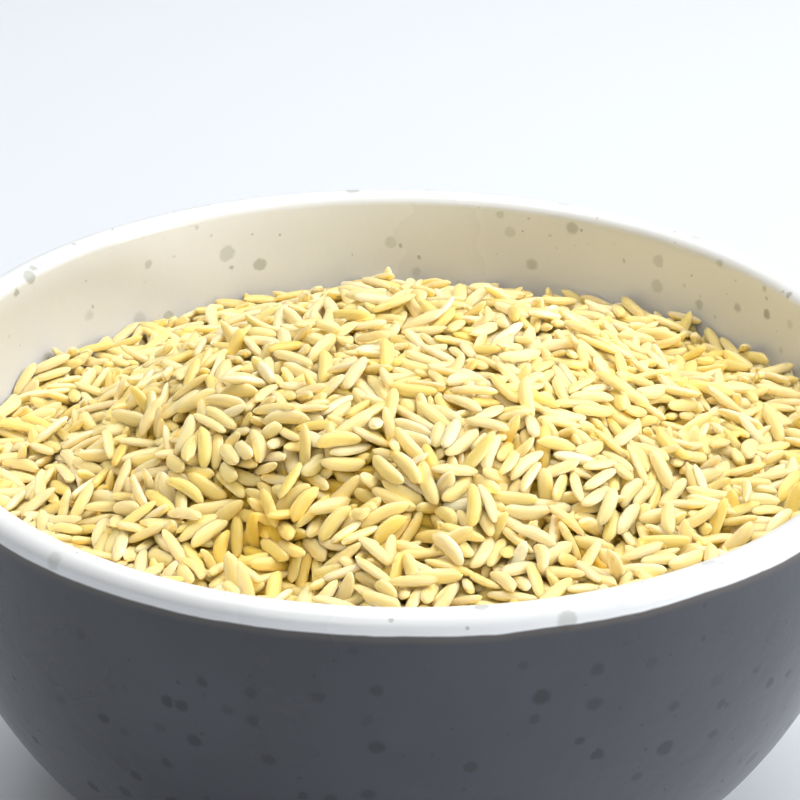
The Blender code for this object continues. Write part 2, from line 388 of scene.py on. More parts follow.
def put(tree, kind, inputs=None, **settings):
    """A new node with its settings, whose inputs take values or the outputs of other nodes."""
    made = tree.nodes.new(kind)
    for name, value in settings.items():
        setattr(made, name, value)
    for name, value in (inputs or {}).items():
        if isinstance(value, bpy.types.NodeSocket):
            tree.links.new(value, made.inputs[name])
        else:
            made.inputs[name].default_value = value
    return made


def math_node(tree, operation, first, second=0.0):
    """The output of a Math node on two values."""
    return put(tree, "ShaderNodeMath", {0: first, 1: second}, operation=operation).outputs[0]


def scaled(tree, value, factor):
    """The output of a value times a factor."""
    return math_node(tree, "MULTIPLY", value, factor)


def noise(tree, place, scale, detail):
    """A noise pattern on a place."""
    return put(tree, "ShaderNodeTexNoise", {"Vector": place, "Scale": scale, "Detail": detail})


def fade(tree, value, low, high, start=0.0, end=1.0):
    """The output of a smooth step from start to end as the value goes from low to high."""
    inputs = {"Value": value, "From Min": low, "From Max": high, "To Min": start, "To Max": end}
    return put(tree, "ShaderNodeMapRange", inputs, interpolation_type="SMOOTHSTEP").outputs["Result"]


def mix_colour(tree, factor, first, second, blend="MIX"):
    """The output of a colour mix; first and second are colours or outputs."""
    made = tree.nodes.new("ShaderNodeMix")
    made.data_type = "RGBA"
    made.blend_type = blend
    for index, value in ((0, factor), (6, first), (7, second)):
        if isinstance(value, bpy.types.NodeSocket):
            tree.links.new(value, made.inputs[index])
        elif index == 0:
            made.inputs[index].default_value = value
        else:
            made.inputs[index].default_value = (*value[:3], 1.0)
    return made.outputs[2]


def attribute(tree, name):
    """The value of a piece's own attribute."""
    return put(tree, "ShaderNodeAttribute", attribute_name=name, attribute_type="GEOMETRY").outputs["Fac"]


def object_place(tree):
    """Object coordinates, which every pattern on a place reads."""
    return put(tree, "ShaderNodeTexCoord").outputs["Object"]


def shade_of(colour, factor):
    """A colour with each channel times a factor."""
    return [channel * factor for channel in colour]


def new_material(name):
    """A node material, with its tree and its Principled shader."""
    material = bpy.data.materials.new(name)
    material.use_nodes = True
    tree = material.node_tree
    return material, tree, tree.nodes["Principled BSDF"]


def bump_on(tree, shader, height, strength, distance):
    """Gives a shader small relief from a pattern, and returns its bump node."""
    bump = put(tree, "ShaderNodeBump", {"Height": height, "Strength": strength, "Distance": distance})
    tree.links.new(bump.outputs["Normal"], shader.inputs["Normal"])
    return bump


def speckles(tree, place, cell, radii):
    """Round spots: 1 within a random radius of each cell's point, faded at its edge, of random strength."""
    cells = put(tree, "ShaderNodeTexVoronoi", {"Vector": place, "Scale": 1.0 / cell}, feature="F1")
    channels = put(tree, "ShaderNodeSeparateColor", {"Color": cells.outputs["Color"]})
    radius = put(
        tree,
        "ShaderNodeMapRange",
        {"Value": channels.outputs["Red"], "To Min": radii[0] / cell, "To Max": radii[1] / cell},
    ).outputs["Result"]
    share = math_node(tree, "DIVIDE", cells.outputs["Distance"], radius)
    spot = fade(tree, share, *SPECKLE_EDGE, 1.0, 0.0)
    strength = fade(tree, channels.outputs["Green"], 0.0, 1.0, FAINTEST, 1.0)
    return math_node(tree, "MULTIPLY", spot, strength)


def placed_speckles(tree, place):
    """The listed speckles: round spots about points of the bowl's two curves, faded at their edges."""
    spots = 0.0
    outside = (OUTER_SPECKLES, RIM_RADIUS, OUTER_POLE_DEPTH)
    inside = (INNER_SPECKLES, BED_RADIUS, INNER_POLE_DEPTH)
    for marks, rim, pole in (outside, inside):
        for turn, depth, radius, strength in marks:
            reach = rim * (1.0 - (depth * MM / pole) ** CURVE_POWER) ** (1.0 / CURVE_POWER)
            angle = math.radians(turn)
            middle = (reach * math.cos(angle), reach * math.sin(angle), BOWL_HEIGHT - depth * MM)
            away = put(tree, "ShaderNodeVectorMath", {0: place, 1: middle}, operation="DISTANCE")
            edge = [radius * share * MM for share in PLACED_EDGE]
            spot = fade(tree, away.outputs["Value"], *edge, strength, 0.0)
            spots = math_node(tree, "MAXIMUM", spots, spot)
    return spots


def all_speckles(tree, place, ragged):
    """Every speckle of the glaze, on a place that a fine noise shakes, so that their outlines are uneven."""
    shake = {0: ragged, 1: (SPECKLE_SHAKE,) * 3, 2: (-SPECKLE_SHAKE / 2.0,) * 3}
    offset = put(tree, "ShaderNodeVectorMath", shake, operation="MULTIPLY_ADD").outputs[0]
    shaken = put(tree, "ShaderNodeVectorMath", {0: place, 1: offset}, operation="ADD").outputs[0]
    large = speckles(tree, shaken, LARGE_CELL, LARGE_RADII)
    small = speckles(tree, shaken, SMALL_CELL, SMALL_RADII)
    scattered = math_node(tree, "MAXIMUM", large, small)
    return math_node(tree, "MAXIMUM", scattered, placed_speckles(tree, shaken))


def outer_glaze_and_shade(tree, sizes, cloud, spots):
    """Slate grey glaze of the outside, set darker to paint its deep shade, cloudy and with darker speckles.
    """
    dark, light = [shade_of(sizes.outer_glaze_and_shade, shade) for shade in OUTER_SHADES]
    plain = mix_colour(tree, cloud, dark, light)
    spot_colour = shade_of(sizes.outer_glaze_and_shade, OUTER_SPOT_SHADE)
    return mix_colour(tree, scaled(tree, spots, OUTER_SPOT_SHARE), plain, spot_colour)


def inner_glaze(tree, sizes, cloud, spots, zone):
    """Cream white glaze of the inside, cloudy, whiter over the lip and with greenish grey speckles."""
    plain = mix_colour(tree, cloud, shade_of(sizes.inner_glaze, INNER_SHADE), sizes.inner_glaze)
    plain = mix_colour(tree, fade(tree, zone, *LIP_FADE), plain, sizes.lip_glaze)
    return mix_colour(tree, scaled(tree, spots, INNER_SPOT_SHARE), plain, INNER_SPOT_COLOUR)


def glaze_material(sizes):
    """Two-tone stoneware glaze with iron speckles, whose dark outside paints its shade, a break line on the
    lip with a painted shade band under it, and a bare foot ring.
    """
    material, tree, shader = new_material("speckled_glaze")
    place = object_place(tree)
    zone = attribute(tree, "zone")
    ragged = noise(tree, place, scale=900.0, detail=2.0)
    spots = all_speckles(tree, place, ragged.outputs["Color"])
    drift = noise(tree, place, scale=45.0, detail=3.0).outputs["Fac"]
    cloud = fade(tree, drift, *CLOUD_FADE)
    outer = outer_glaze_and_shade(tree, sizes, cloud, spots)
    inner = inner_glaze(tree, sizes, cloud, spots, zone)

    waver = noise(tree, place, scale=120.0, detail=3.0).outputs["Fac"]
    waver = math_node(tree, "SUBTRACT", waver, 0.5)
    height = put(tree, "ShaderNodeSeparateXYZ", {"Vector": place}).outputs["Z"]
    depth = math_node(tree, "SUBTRACT", sizes.height, height)
    depth = math_node(tree, "ADD", depth, scaled(tree, waver, BREAK_WAVER))
    outer_half = math_node(tree, "GREATER_THAN", zone, OUTER_ZONE)
    outside = fade(tree, depth, BREAK_DEPTH - BREAK_BLUR, BREAK_DEPTH + BREAK_BLUR)
    outside = math_node(tree, "MULTIPLY", outside, outer_half)
    # Painted shade: a darker brown band just under the break, where the lip turns from the light.
    shade_band = fade(tree, depth, BREAK_DEPTH + LINE_START, BREAK_DEPTH + LINE_END, 1.0, 0.0)
    shade_band = math_node(tree, "MULTIPLY", shade_band, outside)
    bare = fade(tree, math_node(tree, "ADD", zone, scaled(tree, waver, BARE_WAVER)), *BARE_FADE)
    colour = mix_colour(tree, outside, inner, outer)
    colour = mix_colour(tree, scaled(tree, shade_band, LINE_SHARE), colour, sizes.break_band_shade)
    clay = mix_colour(tree, ragged.outputs["Fac"], shade_of(sizes.clay, CLAY_SHADE), sizes.clay)
    colour = mix_colour(tree, bare, colour, clay)
    tree.links.new(colour, shader.inputs["Base Color"])

    gloss = math_node(tree, "ADD", scaled(tree, drift, CLOUD_ROUGHNESS), GLAZE_ROUGHNESS)
    gloss = math_node(tree, "ADD", gloss, scaled(tree, spots, SPOT_ROUGHNESS))
    rough = math_node(tree, "MAXIMUM", gloss, scaled(tree, bare, CLAY_ROUGHNESS))
    tree.links.new(rough, shader.inputs["Roughness"])
    peel = noise(tree, place, scale=260.0, detail=2.0).outputs["Fac"]
    bump_on(tree, shader, peel, strength=0.22, distance=0.4 * MM)
    shader.inputs["IOR"].default_value = 1.50
    return material


def rice_colour(tree, middle, side, mottle, lines):
    """Colour of a grain: paler at its thin sides as a painted glow, deeper golden as a painted shade where it
    lies deep, and dull at its germ tip.
    """
    tone = attribute(tree, "tone")
    share = attribute(tree, "thin_side")
    for pattern, strength in ((mottle, MOTTLE_SHARE), (lines, LINES_SHARE)):
        swing = math_node(tree, "SUBTRACT", pattern, 0.5)
        share = math_node(tree, "ADD", share, scaled(tree, swing, strength))
    # Painted light: towards its thin sides the grain turns paler, a painted glow of light through them.
    colour = mix_colour(tree, fade(tree, share, *GLOW_SIDE_FADE), middle, side)
    green = fade(tree, tone, -1.0, 1.0, *TONE_GREEN)
    blue = fade(tree, tone, -1.0, 1.0, *TONE_BLUE)
    warm = put(tree, "ShaderNodeCombineColor", {0: 1.0, 1: green, 2: blue}).outputs[0]
    colour = mix_colour(tree, 1.0, colour, warm, "MULTIPLY")
    # Painted shade: grains lying deep turn deeper golden, where shade falls between them.
    painted_deep_shade = mix_colour(tree, 1.0, colour, DEEP_SHADE_TINT, "MULTIPLY")
    colour = mix_colour(tree, fade(tree, attribute(tree, "buried"), *DEEP_SHADE_FADE), colour, painted_deep_shade)
    tip = fade(tree, attribute(tree, "along"), *TIP_FADE)
    return mix_colour(tree, scaled(tree, tip, TIP_SHARE), colour, TIP_COLOUR)


def rice_material(name, middle, side):
    """Hard translucent grain: golden middle, pale thin sides that paint the glow of light through them, fine
    lines along it and a dull tip.
    """
    material, tree, shader = new_material(name)
    mottle = noise(tree, object_place(tree), scale=650.0, detail=0.0).outputs["Fac"]
    lines_at = {
        0: scaled(tree, attribute(tree, "around"), LINES_ROUND),
        1: scaled(tree, attribute(tree, "along"), LINES_ALONG),
        2: scaled(tree, attribute(tree, "tone"), LINES_SHIFT),
    }
    lines_place = put(tree, "ShaderNodeCombineXYZ", lines_at).outputs[0]
    lines = noise(tree, lines_place, scale=1.0, detail=1.0).outputs["Fac"]
    tree.links.new(rice_colour(tree, middle, side, mottle, lines), shader.inputs["Base Color"])
    rough = math_node(tree, "ADD", scaled(tree, mottle, GRAIN_ROUGHNESS_SPREAD), GRAIN_ROUGHNESS)
    tree.links.new(rough, shader.inputs["Roughness"])
    bump_on(tree, shader, lines, strength=0.35, distance=0.12 * MM)
    shader.inputs["IOR"].default_value = 1.49
    shader.subsurface_method = "BURLEY"
    shader.inputs["Sheen Weight"].default_value = 0.35
    shader.inputs["Sheen Roughness"].default_value = 0.55
    shader.inputs["Sheen Tint"].default_value = (1.0, 0.96, 0.78, 1.0)
    shader.inputs["Subsurface Weight"].default_value = 1.0
    shader.inputs["Subsurface Radius"].default_value = (1.0, 0.80, 0.40)
    shader.inputs["Subsurface Scale"].default_value = GLOW_REACH
    return material


def core_material():
    """Painted shade of the rice under the top grains: deep golden, with painted grain-sized lights and darks.
    """
    material, tree, shader = new_material("rice_under")
    place = object_place(tree)
    patches = put(tree, "ShaderNodeTexVoronoi", {"Vector": place, "Scale": 420.0}, feature="F1")
    away = patches.outputs["Distance"]
    # Painted light and shade: lighter gold in each cell's middle, darker towards its edge, like lit grains
    # between shaded gaps.
    colour = mix_colour(tree, fade(tree, away, *CORE_FADE), CORE_PAINTED_LIGHT, CORE_PAINTED_SHADE)
    tree.links.new(colour, shader.inputs["Base Color"])
    bump_on(tree, shader, away, strength=0.8, distance=0.8 * MM).invert = True
    shader.inputs["Roughness"].default_value = 0.7
    return material


def mesh_from_arrays(name, points, quads, triangles, smooth=True):
    """A mesh object from whole arrays: points (n, 3), quads (m, 4) and triangles (k, 3)."""
    mesh = bpy.data.meshes.new(name)
    corners = np.concatenate([quads.ravel(), triangles.ravel()]).astype(np.int32)
    starts = np.concatenate([np.arange(len(quads)) * 4, len(quads) * 4 + np.arange(len(triangles)) * 3])
    mesh.vertices.add(len(points))
    mesh.vertices.foreach_set("co", np.asarray(points, np.float32).ravel())
    mesh.loops.add(len(corners))
    mesh.loops.foreach_set("vertex_index", corners)
    mesh.polygons.add(len(starts))
    mesh.polygons.foreach_set("loop_start", starts.astype(np.int32))
    mesh.update(calc_edges=True)
    mesh.polygons.foreach_set("use_smooth", np.full(len(starts), smooth))
    thing = bpy.data.objects.new(name, mesh)
    bpy.context.scene.collection.objects.link(thing)
    return thing


def point_attribute(thing, name, values):
    """Keeps one number a point on a mesh, for its material."""
    data = thing.data.attributes.new(name, "FLOAT", "POINT")
    data.data.foreach_set("value", np.asarray(values, np.float32).ravel())


def turned_faces(rings, steps):
    """Faces of a turned skin whose rings lie between two poles, facing outwards where its section runs up.

    Point 0 is the first pole, then come the rings one after another, and the last point is the other pole.
    """
    ring = np.arange(rings - 1)[:, None] * steps + 1
    here = np.arange(steps)[None]
    there = (here + 1) % steps
    above = ring + steps
    quads = np.stack([ring + here, ring + there, above + there, above + here], -1).reshape(-1, 4)
    last = 1 + (rings - 1) * steps
    first_cap = np.stack([np.zeros(steps, int), 1 + there[0], 1 + here[0]], -1)
    last_cap = np.stack([np.full(steps, last + steps), last + here[0], last + there[0]], -1)
    return quads, np.concatenate([first_cap, last_cap])


def superellipse(angle, rim_radius, pole_depth):
    """Point of a bowl curve: its radius follows cos and its depth sin, to the power 2 / CURVE_POWER."""
    radius = rim_radius * np.cos(angle) ** (2.0 / CURVE_POWER)
    depth = pole_depth * np.sin(angle) ** (2.0 / CURVE_POWER)
    return radius, depth


def angle_at(depth, pole_depth):
    """Angle of a bowl curve at a depth below the rim: the superellipse solved for its angle."""
    return math.asin((depth / pole_depth) ** (CURVE_POWER / 2.0))


def foot_section():
    """Radius and height of the foot ring: down its taper, round its two lower edges and up to the recess."""
    ring_inner = FOOT_RADIUS - FOOT_RING_WIDTH
    bend = np.linspace(0.0, math.pi / 2.0, FOOT_RINGS)
    radius = np.concatenate([
        [FOOT_RADIUS + FOOT_TAPER + EDGE_ROUND, FOOT_RADIUS + FOOT_TAPER],
        FOOT_RADIUS - EDGE_ROUND + EDGE_ROUND * np.cos(bend),
        ring_inner + EDGE_ROUND - EDGE_ROUND * np.sin(bend),
        [ring_inner - EDGE_ROUND, ring_inner - EDGE_ROUND * 3.0, ring_inner * 0.5],
    ])
    height = np.concatenate([
        [FOOT_HEIGHT, FOOT_HEIGHT - EDGE_ROUND],
        EDGE_ROUND - EDGE_ROUND * np.sin(bend),
        EDGE_ROUND - EDGE_ROUND * np.cos(bend),
        [FOOT_RECESS - EDGE_ROUND * 0.5, FOOT_RECESS, FOOT_RECESS],
    ])
    return radius, height


def bowl_section(sizes):
    """The bowl's section as radius, height and zone, from the middle of its underside to its floor's middle.

    The inside and the outside are superellipses, and the lip is half an ellipse between them. The zone runs
    from 0 to 1 inside, to 2 over the lip, to 3 outside and to 4 under the foot.
    """
    height = sizes.height
    inner_start = angle_at(LIP_HEIGHT, INNER_POLE_DEPTH)
    inner_angle = np.linspace(math.pi / 2.0 - POLE_GAP, inner_start, INSIDE_RINGS)
    inner_radius, inner_depth = superellipse(inner_angle, sizes.rim_radius - sizes.wall, INNER_POLE_DEPTH)
    lip_angle = np.linspace(math.pi, 0.0, LIP_RINGS + 2)[1:-1]
    lip_radius = sizes.rim_radius - sizes.wall / 2.0 + sizes.wall / 2.0 * np.cos(lip_angle)
    lip_depth = LIP_HEIGHT - LIP_HEIGHT * np.sin(lip_angle)
    outer_start = angle_at(LIP_HEIGHT, OUTER_POLE_DEPTH)
    outer_end = angle_at(height - FOOT_HEIGHT, OUTER_POLE_DEPTH)
    outer_angle = np.linspace(outer_start, outer_end, OUTSIDE_RINGS)
    outer_radius, outer_depth = superellipse(outer_angle, sizes.rim_radius, OUTER_POLE_DEPTH)
    foot_radius, foot_height = foot_section()
    radius = np.concatenate([inner_radius, lip_radius, outer_radius, foot_radius])
    level = np.concatenate([height - inner_depth, height - lip_depth, height - outer_depth, foot_height])
    zone = np.concatenate([
        np.linspace(0.0, 1.0, INSIDE_RINGS),
        1.0 + np.arange(1, LIP_RINGS + 1) / (LIP_RINGS + 1.0),
        np.linspace(2.0, 3.0, OUTSIDE_RINGS),
        3.0 + np.arange(1, len(foot_radius) + 1) / len(foot_radius),
    ])
    return radius[::-1], level[::-1], zone[::-1]


def make_bowl_piece(sizes):
    """The bowl: its section turned round Z, out of round by a few slow waves that fade towards the foot."""
    radius, level, zone = bowl_section(sizes)
    turn = np.linspace(0.0, math.tau, BOWL_STEPS, endpoint=False)[None]
    height = level[:, None]
    wave = 0.0
    for size, number, phase, slant in BOWL_WAVES:
        wave = wave + size * np.sin(number * turn + phase + slant * height)
    rise = np.clip(height / sizes.height, 0.0, 1.0) ** 2.0
    spread = radius[:, None] + WOBBLE * rise * (wave / 2.0 - 1.0)
    points = np.stack([spread * np.cos(turn), spread * np.sin(turn), height + 0.0 * turn], -1).reshape(-1, 3)
    first = (0.0, 0.0, FOOT_RECESS)
    last = (0.0, 0.0, sizes.height - INNER_POLE_DEPTH)
    points = np.concatenate([[first], points, [last]])
    quads, triangles = turned_faces(len(radius), BOWL_STEPS)
    bowl = mesh_from_arrays("bowl_glazed", points, quads, triangles)
    zones = np.concatenate([[4.0], np.repeat(zone, BOWL_STEPS), [0.0]])
    point_attribute(bowl, "zone", zones)
    bowl.data.materials.append(glaze_material(sizes))
    return bowl


def hollow_depth(x, y):
    """Depth of the heap's hollows: a sum of round bells, depth * exp(-(distance / radius)^2) each."""
    total = 0.0
    for centre_x, centre_y, radius, depth in HOLLOWS:
        away = np.hypot(x - centre_x, y - centre_y) / radius
        total = total + depth * np.exp(-(away**2))
    return total


def heap_level(x, y):
    """Height of the heap from the rim: a tilted bed, a broad mound, a few hollows and slow ripples."""
    heading = x * math.cos(TILT_HEADING) + y * math.sin(TILT_HEADING)
    level = WALL_LEVEL + LEVEL_TILT * heading
    reach = np.hypot(x - MOUND_CENTRE[0], y - MOUND_CENTRE[1]) / MOUND_RADIUS
    level = level + MOUND_HEIGHT / (1.0 + reach**MOUND_POWER)
    level = level - hollow_depth(x, y)
    wave = math.tau / RIPPLE_LENGTH
    ripple = np.sin(wave * x + 0.7) * np.cos(wave * y - 0.4)
    ripple = ripple + 0.6 * np.sin(wave * 1.7 * (x * 0.8 - y * 0.6) + 2.1)
    return level + RIPPLE * ripple


def core_height(x, y):
    """Height of the core's top, which the grains lie on: the heap's, less the depth of the loose grains."""
    return BOWL_HEIGHT + heap_level(x, y) - CORE_DEPTH


def core_normal(x, y):
    """Unit normal of the core's top, from its slopes over a short step each way."""
    slope_x = (heap_level(x + SLOPE_STEP, y) - heap_level(x - SLOPE_STEP, y)) / (2.0 * SLOPE_STEP)
    slope_y = (heap_level(x, y + SLOPE_STEP) - heap_level(x, y - SLOPE_STEP)) / (2.0 * SLOPE_STEP)
    normal = np.stack([-slope_x, -slope_y, np.ones_like(slope_x)], -1)
    return normal / np.linalg.norm(normal, axis=-1, keepdims=True)


def wall_radius(height):
    """Radius of the bowl's inside at a height: the superellipse solved for its radius."""
    depth = np.clip((BOWL_HEIGHT - height) / INNER_POLE_DEPTH, 0.0, 0.999)
    return BED_RADIUS * (1.0 - depth**CURVE_POWER) ** (1.0 / CURVE_POWER)


def make_core_piece():
    """The core: a round blanket at the core's height, closed below along the bowl's inside."""
    share = np.linspace(0.0, 1.0, CORE_RINGS)[1:, None]
    turn = np.linspace(0.0, math.tau, CORE_STEPS, endpoint=False)[None]
    flat_x = BED_RADIUS * np.cos(turn) * share
    flat_y = BED_RADIUS * np.sin(turn) * share
    top = core_height(flat_x, flat_y)
    squeeze = 1.0 + ((wall_radius(top) - CORE_GAP) / BED_RADIUS - 1.0) * share
    top_points = np.stack([flat_x * squeeze, flat_y * squeeze, top], -1)
    edge = top[-1:]
    floor = BOWL_HEIGHT - INNER_POLE_DEPTH + CORE_GAP
    fall = np.linspace(0.0, UNDER_END, UNDER_RINGS + 1)[1:, None]
    under = edge + (floor - edge) * np.sin(fall * math.pi / 2.0)
    reach = np.maximum(wall_radius(under) - CORE_GAP * 1.5, UNDER_RADIUS)
    under_points = np.stack([reach * np.cos(turn), reach * np.sin(turn), under], -1)
    middle = float(core_height(0.0, 0.0))
    rings = np.concatenate([top_points, under_points])[::-1]
    points = np.concatenate([[(0.0, 0.0, floor)], rings.reshape(-1, 3), [(0.0, 0.0, middle)]])
    quads, triangles = turned_faces(len(rings), CORE_STEPS)
    core = mesh_from_arrays("rice_core", points, quads, triangles)
    core.data.materials.append(core_material())
    return core


def near_pairs(points, reach):
    """Index pairs of points that may lie within a reach, from points sorted into cubic cells."""
    cell = np.floor((points - points.min(0)) / reach).astype(np.int64) + 1
    size = cell.max(0) + 2
    key = (cell[:, 0] * size[1] + cell[:, 1]) * size[2] + cell[:, 2]
    order = np.argsort(key, kind="stable")
    keys = key[order]
    firsts, seconds = [], []
    for step_x in (-1, 0, 1):
        for step_y in (-1, 0, 1):
            shift = (step_x * size[1] + step_y) * size[2]
            low = np.searchsorted(keys, keys + shift - 1, "left")
            high = np.searchsorted(keys, keys + shift + 1, "right")
            number = high - low
            one = np.repeat(np.arange(len(keys)), number)
            before = np.cumsum(number) - number
            two = np.arange(number.sum()) + np.repeat(low - before, number)
            later = two > one
            firsts.append(order[one[later]])
            seconds.append(order[two[later]])
    return np.concatenate(firsts), np.concatenate(seconds)


def varied(draw, count, mean, spread, limits):
    """Sizes drawn about a mean, and kept within their limits."""
    return (mean * draw.normal(1.0, spread, count)).clip(mean * limits[0], mean * limits[1])


def loose_grains(sizes, draw):
    """Grains strewn evenly over the core, lifted off it at random, mostly lying along it."""
    spots = np.empty((0, 2))
    while len(spots) < sizes.count:
        tried = draw.uniform(-BED_RADIUS, BED_RADIUS, (TRIES, 2))
        upright = core_normal(tried[:, 0], tried[:, 1])[:, 2]
        inside = np.hypot(tried[:, 0], tried[:, 1]) < BED_RADIUS - STREW_MARGIN
        kept = draw.uniform(0.0, 1.0, TRIES) < STREW_SHARE / upright
        spots = np.concatenate([spots, tried[inside & kept]])
    spots = spots[: sizes.count]
    normal = core_normal(spots[:, 0], spots[:, 1])
    lift = draw.uniform(LOWEST_LIFT, 1.0, sizes.count) * LOOSE_DEPTH
    middle = np.column_stack([spots, core_height(spots[:, 0], spots[:, 1])]) + normal * lift[:, None]
    heading = draw.uniform(0.0, math.tau, sizes.count)
    lean = draw.normal(0.0, LEAN, sizes.count)
    axis = np.column_stack([np.cos(heading), np.sin(heading), np.zeros(sizes.count)])
    axis = axis - normal * (axis * normal).sum(1, keepdims=True)
    axis = axis / np.linalg.norm(axis, axis=1, keepdims=True)
    axis = axis * np.cos(lean)[:, None] + normal * np.sin(lean)[:, None]
    length = varied(draw, sizes.count, sizes.length, LENGTH_SPREAD, LENGTH_LIMITS)
    width = varied(draw, sizes.count, sizes.width, WIDTH_SPREAD, WIDTH_LIMITS)
    return middle, axis, length, width


def settle(middle, axis, length, width):
    """Settles the grains: each step pulls them to the core and pushes touching balls apart, until they rest.

    A ball's push moves its grain's middle, and turns its axis by the push's moment over the grain's inertia.
    """
    ball_radius = (width[:, None] * BALL_RADIUS * BALL_SIZES).ravel()
    place = BALL_PLACES * (length / 2.0)[:, None]
    inertia = length**2 / INERTIA_PART
    for step in range(SETTLE_STEPS):
        arm = axis[:, None] * place[..., None]
        balls = (middle[:, None] + arm).reshape(-1, 3)
        if step % REFRESH == 0:
            one, two = near_pairs(balls, LONGEST_REACH)
            limit = ball_radius[one] + ball_radius[two] + NEAR_MARGIN
            close = np.linalg.norm(balls[one] - balls[two], axis=1) < limit
            close &= one // BALLS != two // BALLS
            one, two = one[close], two[close]
            normal = core_normal(balls[:, 0], balls[:, 1])
        apart = balls[one] - balls[two]
        distance = np.linalg.norm(apart, axis=1) + NOT_ZERO
        overlap = np.clip(ball_radius[one] + ball_radius[two] - distance, 0.0, None)
        pair_push = apart * (overlap * PUSH_SHARE / distance)[:, None]
        push = np.empty_like(balls)
        for column in range(3):
            push[:, column] = np.bincount(one, pair_push[:, column], len(balls))
            push[:, column] -= np.bincount(two, pair_push[:, column], len(balls))
        above = (balls[:, 2] - core_height(balls[:, 0], balls[:, 1])) * normal[:, 2]
        push += normal * (np.clip(ball_radius - above, 0.0, None) * SURFACE_SHARE)[:, None]
        reach = np.hypot(balls[:, 0], balls[:, 1]) + NOT_ZERO
        outside = np.clip(reach + ball_radius + WALL_GAP - wall_radius(balls[:, 2]), 0.0, None)
        push[:, :2] -= balls[:, :2] / reach[:, None] * (outside * SURFACE_SHARE)[:, None]
        push = push.reshape(-1, BALLS, 3)
        pull = FAST_PULL if step < SETTLE_STEPS * FAST_SHARE else SLOW_PULL
        middle = middle + push.sum(1) - normal.reshape(-1, BALLS, 3)[:, BALLS // 2] * pull
        turn = np.cross(arm, push).sum(1) / inertia[:, None]
        axis = axis + np.cross(turn, axis)
        axis = axis / np.linalg.norm(axis, axis=1, keepdims=True)
    return middle, axis


def top_map(balls, ball_radius):
    """Height of the grains' top over a square grid: each cell's highest ball, averaged over near cells."""
    cells = int(2.0 * RIM_RADIUS / MAP_CELL)
    cell = ((balls[:, :2] + RIM_RADIUS) / MAP_CELL).astype(int).clip(0, cells - 1)
    highest = np.full((cells, cells), np.nan)
    np.fmax.at(highest, (cell[:, 0], cell[:, 1]), balls[:, 2] + ball_radius)
    known = np.isfinite(highest)
    total = np.where(known, highest, 0.0)
    weight = known.astype(float)
    shifts = range(-MAP_BLUR, MAP_BLUR + 1)
    for way in (0, 1):
        total = sum(np.roll(total, shift, way) for shift in shifts)
        weight = sum(np.roll(weight, shift, way) for shift in shifts)
    return total / np.maximum(weight, 1.0)


def depth_under(top, points):
    """How far points lie under the top map, as a share of the depth at which the painted golden shade is
    full.
    """
    cell = ((points[..., :2] + RIM_RADIUS) / MAP_CELL).astype(int).clip(0, len(top) - 1)
    return np.clip((top[cell[..., 0], cell[..., 1]] - points[..., 2]) / CREVICE_SHADE_DEPTH, 0.0, 1.0)


def grain_points(middle, axis, side, length, width, flatness, bend, chip, rings, steps):
    """Points of many grains at once, as an array (grains, points, 3), with their place along and around.

    Along a grain, s runs from -1 to 1. Its girth is (1 - |s|^p)^q, with a blunter germ end at s = 1. Its
    section is an ellipse with faint ridges, its middle line is a slight arc, and a slanted chip is cut at the
    germ end.
    """
    up = np.cross(axis, side)
    s = np.sin(np.linspace(-0.5, 0.5, rings + 2)[1:-1] * math.pi)
    power = np.where(s < 0.0, *GIRTH_POWERS)
    girth = (1.0 - np.abs(s) ** power) ** np.where(s < 0.0, *GIRTH_ROOTS)
    turn = np.linspace(0.0, math.tau, steps, endpoint=False)
    ridge = 1.0 + RIDGES[0] * np.cos(4.0 * turn) + RIDGES[1] * np.cos(6.0 * turn + 0.5)
    across = np.outer(girth, np.cos(turn) * ridge)
    thick = np.outer(girth, np.sin(turn) * ridge)
    chipped = np.clip((s - CHIP_START) / (1.0 - CHIP_START), 0.0, 1.0) ** CHIP_POWER
    notch = chipped[:, None] * np.clip(np.cos(turn), 0.0, None)[None]
    count = len(middle)
    half_width = width[:, None, None] / 2.0
    x = np.broadcast_to((length[:, None] / 2.0 * s)[..., None], (count, rings, steps))
    y = half_width * (across[None] - chip[:, None, None] * notch[None])
    y = y + bend[:, None, None] * (1.0 - 2.0 * s**2)[None, :, None]
    z = half_width * flatness * thick[None]
    local = np.stack([x, y, z], -1).reshape(count, rings * steps, 3)
    ends = np.zeros((count, 2, 3))
    ends[:, 0, 0] = -length / 2.0
    ends[:, 1, 0] = length / 2.0
    ends[:, :, 1] = -bend[:, None]
    local = np.concatenate([ends[:, :1], local, ends[:, 1:]], 1)
    frame_axes = np.stack([axis, side, up], 1)
    points = middle[:, None] + np.einsum("gpk,gkj->gpj", local, frame_axes)
    along = np.concatenate([[-1.0], np.repeat(s, steps), [1.0]])
    around = np.concatenate([[0.0], np.tile(np.abs(turn / math.pi - 1.0), rings), [0.0]])
    thin = np.concatenate([[1.0], np.tile(np.abs(np.cos(turn)) ** 2.0, rings), [1.0]])
    return points, along, around, thin


